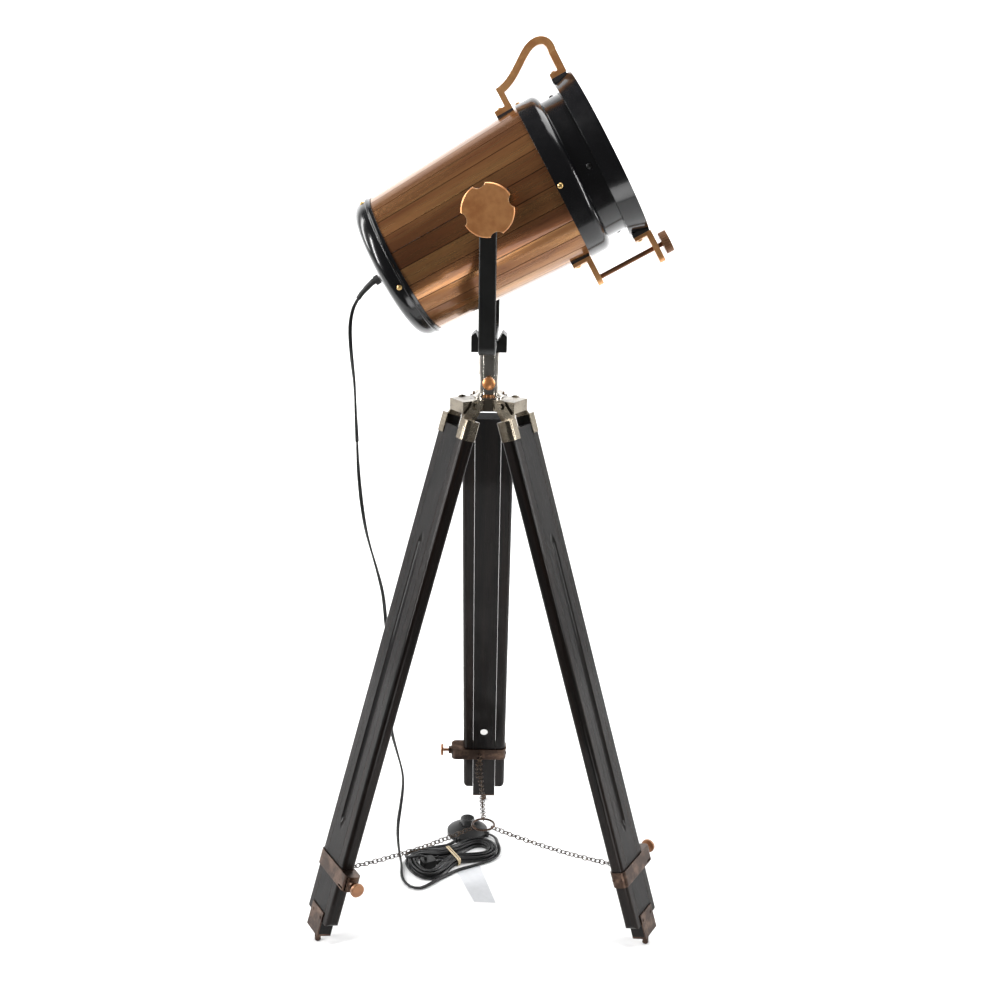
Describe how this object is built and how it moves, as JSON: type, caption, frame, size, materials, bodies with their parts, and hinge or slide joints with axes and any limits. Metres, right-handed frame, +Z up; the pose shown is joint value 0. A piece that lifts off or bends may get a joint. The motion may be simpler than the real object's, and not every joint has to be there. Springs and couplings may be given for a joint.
{
  "type": "spotlight floor lamp",
  "caption": "Floor lamp with a staved barrel spotlight head in a tilting yoke on a folding three-legged wooden stand, with chains, a foot switch and a bundled cord.",
  "frame": {"origin": "on the floor, on the upright axis through the tripod hub", "axes": "+Z up along the stem, +X towards the side that the head points to, -Y towards the viewer of the picture"},
  "size_m": [0.4612, 0.428, 1.1284],
  "materials": {
    "antique_nickel": "polished antique nickel plate",
    "copper_metal": "satin copper-coloured lacquer on metal",
    "black_satin_metal": "satin black paint",
    "black_gloss_metal": "gloss black lacquer",
    "stave_wood": "glossy lacquered bronze-brown staves",
    "brass_screw": "aged brass",
    "lens_glass": "clear glass",
    "bulb_glass": "opal glass",
    "socket_ceramic": "glazed white ceramic",
    "black_rubber": "matt black rubber",
    "cord_black": "satin black flexible cord",
    "black_plastic": "moulded black plastic",
    "elastic_beige": "beige elastic band",
    "paper_white": "plain white paper",
    "leg_wood": "near-black brown stain, semi-gloss",
    "antique_bronze": "dark antique bronze"
  },
  "bodies": {
    "base": {"hub": "antique_nickel", "hinge_bolts": "antique_nickel", "socket_tube": "antique_nickel", "chain_ring": "antique_bronze", "chain_rear": "antique_bronze", "chain_left": "antique_bronze", "chain_right": "antique_bronze", "cord_upper": "cord_black", "cord_lower": "cord_black", "foot_switch": "black_plastic", "cord_link": "cord_black", "cord_hank": "cord_black", "hank_tie": "elastic_beige", "tag": "paper_white", "plug_lead": "cord_black", "plug": "black_plastic"},
    "lock_screw": {"lock_screw": "copper_metal"},
    "yoke": {"pan_stem": "antique_nickel", "saddle": "black_satin_metal", "yoke": "black_satin_metal", "pivot_plates": "black_satin_metal"},
    "tilt_knob_near": {"tilt_knob_near": "copper_metal"},
    "tilt_knob_far": {"tilt_knob_far": "copper_metal"},
    "head": {"pivot_bosses": "black_satin_metal", "shell": "stave_wood", "back_cap": "black_gloss_metal", "case_screws": "brass_screw", "collar": "black_gloss_metal", "neck": "black_gloss_metal", "neck_screws": "black_satin_metal", "front_ring": "black_gloss_metal", "lens": "lens_glass", "handle": "copper_metal", "rod_brackets": "copper_metal", "foot_pads": "black_rubber", "lamp_socket": "socket_ceramic", "bulb": "bulb_glass", "bulb_cap": "brass_screw", "gland": "black_rubber"},
    "rod_knob": {"rod_knob": "copper_metal"},
    "leg_rear": {"rails_rear": "leg_wood", "ferrules_rear": "antique_nickel", "clamp_rear": "antique_bronze"},
    "slat_rear": {"slat_rear": "leg_wood", "foot_rear": "antique_bronze"},
    "clamp_screw_rear": {"clamp_screw_rear": "copper_metal"},
    "leg_left": {"rails_left": "leg_wood", "ferrules_left": "antique_nickel", "clamp_left": "antique_bronze"},
    "slat_left": {"slat_left": "leg_wood", "foot_left": "antique_bronze"},
    "clamp_screw_left": {"clamp_screw_left": "copper_metal"},
    "leg_right": {"rails_right": "leg_wood", "ferrules_right": "antique_nickel", "clamp_right": "antique_bronze"},
    "slat_right": {"slat_right": "leg_wood", "foot_right": "antique_bronze"},
    "clamp_screw_right": {"clamp_screw_right": "copper_metal"},
    "switch_button": {"switch_button": "black_plastic"}
  },
  "joints": [
    {"name": "head_pan", "type": "hinge", "parent": "base", "child": "yoke", "pos_m": [0, 0, 0.70696], "axis": [0, 0, 1], "range_deg": [-60, 60], "deforming": ["cord_lower"]},
    {"name": "head_tilt", "type": "hinge", "parent": "yoke", "child": "head", "pos_m": [0, 0, 0.93696], "axis": [-0.0262, -0.9997, 0], "range_deg": [-40, 8], "deforming": ["cord_upper"]},
    {"name": "tilt_knob_near_turn", "type": "hinge", "parent": "yoke", "child": "tilt_knob_near", "pos_m": [-0.0034, -0.12995, 0.93696], "axis": [-0.0262, -0.9997, 0], "range_deg": [0, 270]},
    {"name": "tilt_knob_far_turn", "type": "hinge", "parent": "yoke", "child": "tilt_knob_far", "pos_m": [0.0034, 0.12995, 0.93696], "axis": [0.0262, 0.9997, 0], "range_deg": [0, 270]},
    {"name": "lock_screw_turn", "type": "hinge", "parent": "base", "child": "lock_screw", "pos_m": [0, -0.015, 0.72166], "axis": [0, -1, 0], "range_deg": [0, 270]},
    {"name": "rod_knob_turn", "type": "hinge", "parent": "head", "child": "rod_knob", "pos_m": [0.16162, -0.03045, 0.87192], "axis": [0.8726, -0.0228, 0.4879], "range_deg": [0, 270]},
    {"name": "leg_rear_fold", "type": "hinge", "parent": "base", "child": "leg_rear", "pos_m": [0, 0.028, 0.69596], "axis": [-1, 0, 0], "range_deg": [0, 4.5], "deforming": ["chain_rear"]},
    {"name": "leg_left_fold", "type": "hinge", "parent": "base", "child": "leg_left", "pos_m": [-0.02425, -0.014, 0.69596], "axis": [0.5, -0.866, 0], "range_deg": [0, 16.5], "deforming": ["chain_left"]},
    {"name": "leg_right_fold", "type": "hinge", "parent": "base", "child": "leg_right", "pos_m": [0.02425, -0.014, 0.69596], "axis": [0.5, 0.866, 0], "range_deg": [0, 16.5], "deforming": ["chain_right"]},
    {"name": "slat_rear_slide", "type": "slide", "parent": "leg_rear", "child": "slat_rear", "axis": [0, 0.297, -0.9549], "range_m": [0, 0.38]},
    {"name": "slat_left_slide", "type": "slide", "parent": "leg_left", "child": "slat_left", "axis": [-0.2572, -0.1485, -0.9549], "range_m": [0, 0.38]},
    {"name": "slat_right_slide", "type": "slide", "parent": "leg_right", "child": "slat_right", "axis": [0.2572, -0.1485, -0.9549], "range_m": [0, 0.38]},
    {"name": "clamp_screw_rear_turn", "type": "hinge", "parent": "leg_rear", "child": "clamp_screw_rear", "pos_m": [-0.05, 0.21934, 0.10109], "axis": [-1, 0, 0], "range_deg": [0, 270]},
    {"name": "clamp_screw_left_turn", "type": "hinge", "parent": "leg_left", "child": "clamp_screw_left", "pos_m": [-0.16495, -0.15297, 0.10109], "axis": [0.5, -0.866, 0], "range_deg": [0, 270]},
    {"name": "clamp_screw_right_turn", "type": "hinge", "parent": "leg_right", "child": "clamp_screw_right", "pos_m": [0.21495, -0.06637, 0.10109], "axis": [0.5, 0.866, 0], "range_deg": [0, 270]},
    {"name": "switch_press", "type": "slide", "parent": "base", "child": "switch_button", "axis": [0, 0, -1], "range_m": [0, 0.003], "stiffness_N_per_m": 600, "springref_m": -0.001}
  ]
}
